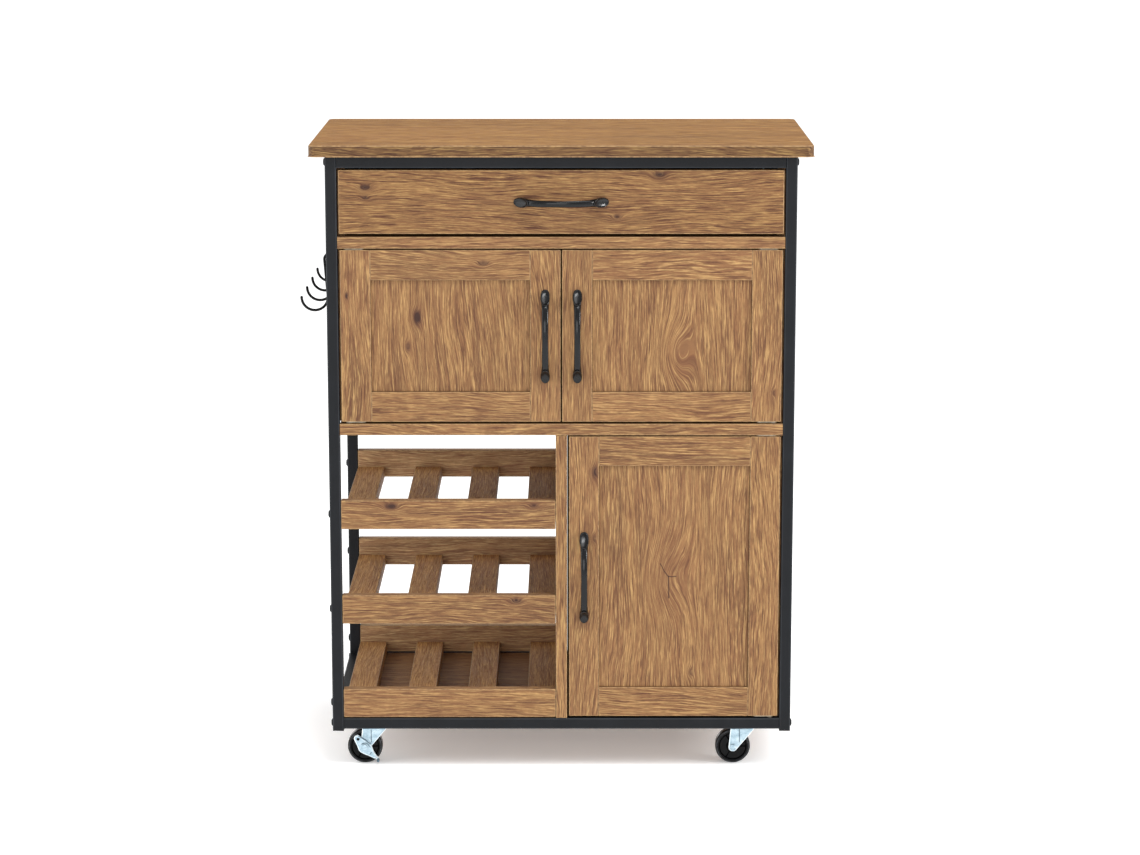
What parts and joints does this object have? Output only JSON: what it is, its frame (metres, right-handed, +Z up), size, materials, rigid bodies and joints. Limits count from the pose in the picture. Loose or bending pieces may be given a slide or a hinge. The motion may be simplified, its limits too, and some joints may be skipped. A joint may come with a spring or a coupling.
{
  "type": "kitchen bar cart",
  "caption": "Bar cart on casters: steel tube frame, wooden top, a drawer, panelled cupboard doors, slatted bottle racks and side hooks.",
  "frame": {"origin": "on the floor, under the middle of the whole outline", "axes": "+X to the right seen from the front, +Y to the back, +Z up; the drawer and doors face -Y"},
  "size_m": [0.7174, 0.4162, 0.9],
  "materials": {
    "oak": "matt rustic oak laminate with visible grain and knots, thin pale edges",
    "hardboard": "thin matt brown hardboard",
    "powder_coat": "satin charcoal powder coat on square steel tube",
    "handle_black": "satin black",
    "hook_black": "satin black coated wire",
    "zinc": "bright bluish zinc plating",
    "wheel_black": "glossy black moulded plastic"
  },
  "bodies": {
    "frame": {"front_left_post": "powder_coat", "front_right_post": "powder_coat", "rear_left_post": "powder_coat", "rear_right_post": "powder_coat", "top_front_rail": "powder_coat", "top_rear_rail": "powder_coat", "top_left_rail": "powder_coat", "top_right_rail": "powder_coat", "bottom_front_rail": "powder_coat", "bottom_rear_rail": "powder_coat", "bottom_left_rail": "powder_coat", "bottom_right_rail": "powder_coat", "table_top": "oak", "drawer_shelf": "oak", "cabinet_floor": "oak", "bottom_board": "oak", "divider": "oak", "left_side_panel": "oak", "right_side_panel": "oak", "upper_back_panel": "hardboard", "lower_back_panel": "hardboard", "bottle_rack_1": "oak", "bottle_rack_2": "oak", "bottle_rack_3": "oak", "left_drawer_runner": "zinc", "right_drawer_runner": "zinc", "front_left_caster_plate": "zinc", "front_right_caster_plate": "zinc", "rear_left_caster_plate": "zinc", "rear_right_caster_plate": "zinc", "hook_rod": "powder_coat"},
    "drawer": {"drawer_front": "oak", "drawer_left_side": "oak", "drawer_right_side": "oak", "drawer_back": "oak", "drawer_bottom": "hardboard", "drawer_handle": "handle_black"},
    "upper_left_door": {"upper_left_door": "oak", "upper_left_door_hinge": "zinc", "upper_left_door_handle": "handle_black"},
    "upper_right_door": {"upper_right_door": "oak", "upper_right_door_hinge": "zinc", "upper_right_door_handle": "handle_black"},
    "lower_door": {"lower_door": "oak", "lower_door_hinge": "zinc", "lower_door_handle": "handle_black"},
    "front_left_swivel": {"front_left_caster_fork": "zinc"},
    "front_left_wheel": {"front_left_wheel": "wheel_black"},
    "front_right_swivel": {"front_right_caster_fork": "zinc"},
    "front_right_wheel": {"front_right_wheel": "wheel_black"},
    "rear_left_swivel": {"rear_left_caster_fork": "zinc"},
    "rear_left_wheel": {"rear_left_wheel": "wheel_black"},
    "rear_right_swivel": {"rear_right_caster_fork": "zinc"},
    "rear_right_wheel": {"rear_right_wheel": "wheel_black"},
    "front_left_brake": {"front_left_brake_lever": "zinc"},
    "rear_right_brake": {"rear_right_brake_lever": "zinc"},
    "hook_1": {"hook_1": "hook_black"},
    "hook_2": {"hook_2": "hook_black"},
    "hook_3": {"hook_3": "hook_black"},
    "hook_4": {"hook_4": "hook_black"}
  },
  "joints": [
    {"name": "drawer_slide", "type": "slide", "parent": "frame", "child": "drawer", "axis": [0, -1, 0], "range_m": [0, 0.25]},
    {"name": "upper_left_door_hinge", "type": "hinge", "parent": "frame", "child": "upper_left_door", "pos_m": [-0.29032, -0.17285, 0.632], "axis": [0, 0, -1], "range_deg": [0, 110]},
    {"name": "upper_right_door_hinge", "type": "hinge", "parent": "frame", "child": "upper_right_door", "pos_m": [0.30768, -0.17285, 0.632], "axis": [0, 0, 1], "range_deg": [0, 110]},
    {"name": "lower_door_hinge", "type": "hinge", "parent": "frame", "child": "lower_door", "pos_m": [0.30768, -0.17285, 0.285], "axis": [0, 0, 1], "range_deg": [0, 110]},
    {"name": "front_left_swivel", "type": "hinge", "parent": "frame", "child": "front_left_swivel", "pos_m": [-0.25732, -0.13685, 0.058], "axis": [0, 0, 1], "continuous": true},
    {"name": "front_left_wheel_spin", "type": "hinge", "parent": "front_left_swivel", "child": "front_left_wheel", "pos_m": [-0.27562, -0.13685, 0.02525], "axis": [0, 1, 0], "continuous": true},
    {"name": "front_right_swivel", "type": "hinge", "parent": "frame", "child": "front_right_swivel", "pos_m": [0.27468, -0.13685, 0.058], "axis": [0, 0, 1], "continuous": true},
    {"name": "front_right_wheel_spin", "type": "hinge", "parent": "front_right_swivel", "child": "front_right_wheel", "pos_m": [0.25638, -0.13685, 0.02525], "axis": [0, 1, 0], "continuous": true},
    {"name": "rear_left_swivel", "type": "hinge", "parent": "frame", "child": "rear_left_swivel", "pos_m": [-0.25732, 0.15315, 0.058], "axis": [0, 0, 1], "continuous": true},
    {"name": "rear_left_wheel_spin", "type": "hinge", "parent": "rear_left_swivel", "child": "rear_left_wheel", "pos_m": [-0.27562, 0.15315, 0.02525], "axis": [0, 1, 0], "continuous": true},
    {"name": "rear_right_swivel", "type": "hinge", "parent": "frame", "child": "rear_right_swivel", "pos_m": [0.27468, 0.15315, 0.058], "axis": [0, 0, 1], "continuous": true},
    {"name": "rear_right_wheel_spin", "type": "hinge", "parent": "rear_right_swivel", "child": "rear_right_wheel", "pos_m": [0.25638, 0.15315, 0.02525], "axis": [0, 1, 0], "continuous": true},
    {"name": "front_left_brake_lever", "type": "hinge", "parent": "front_left_swivel", "child": "front_left_brake", "pos_m": [-0.27562, -0.13685, 0.02525], "axis": [0, -1, 0], "range_deg": [0, 20]},
    {"name": "rear_right_brake_lever", "type": "hinge", "parent": "rear_right_swivel", "child": "rear_right_brake", "pos_m": [0.25638, 0.15315, 0.02525], "axis": [0, -1, 0], "range_deg": [0, 20]},
    {"name": "hook_1_swing", "type": "hinge", "parent": "frame", "child": "hook_1", "pos_m": [-0.31532, -0.14385, 0.7371], "axis": [0, 1, 0], "range_deg": [-12, 60]},
    {"name": "hook_2_swing", "type": "hinge", "parent": "frame", "child": "hook_2", "pos_m": [-0.31532, -0.04935, 0.7371], "axis": [0, 1, 0], "range_deg": [-12, 60]},
    {"name": "hook_3_swing", "type": "hinge", "parent": "frame", "child": "hook_3", "pos_m": [-0.31532, 0.04515, 0.7371], "axis": [0, 1, 0], "range_deg": [-12, 60]},
    {"name": "hook_4_swing", "type": "hinge", "parent": "frame", "child": "hook_4", "pos_m": [-0.31532, 0.13965, 0.7371], "axis": [0, 1, 0], "range_deg": [-12, 60]}
  ]
}
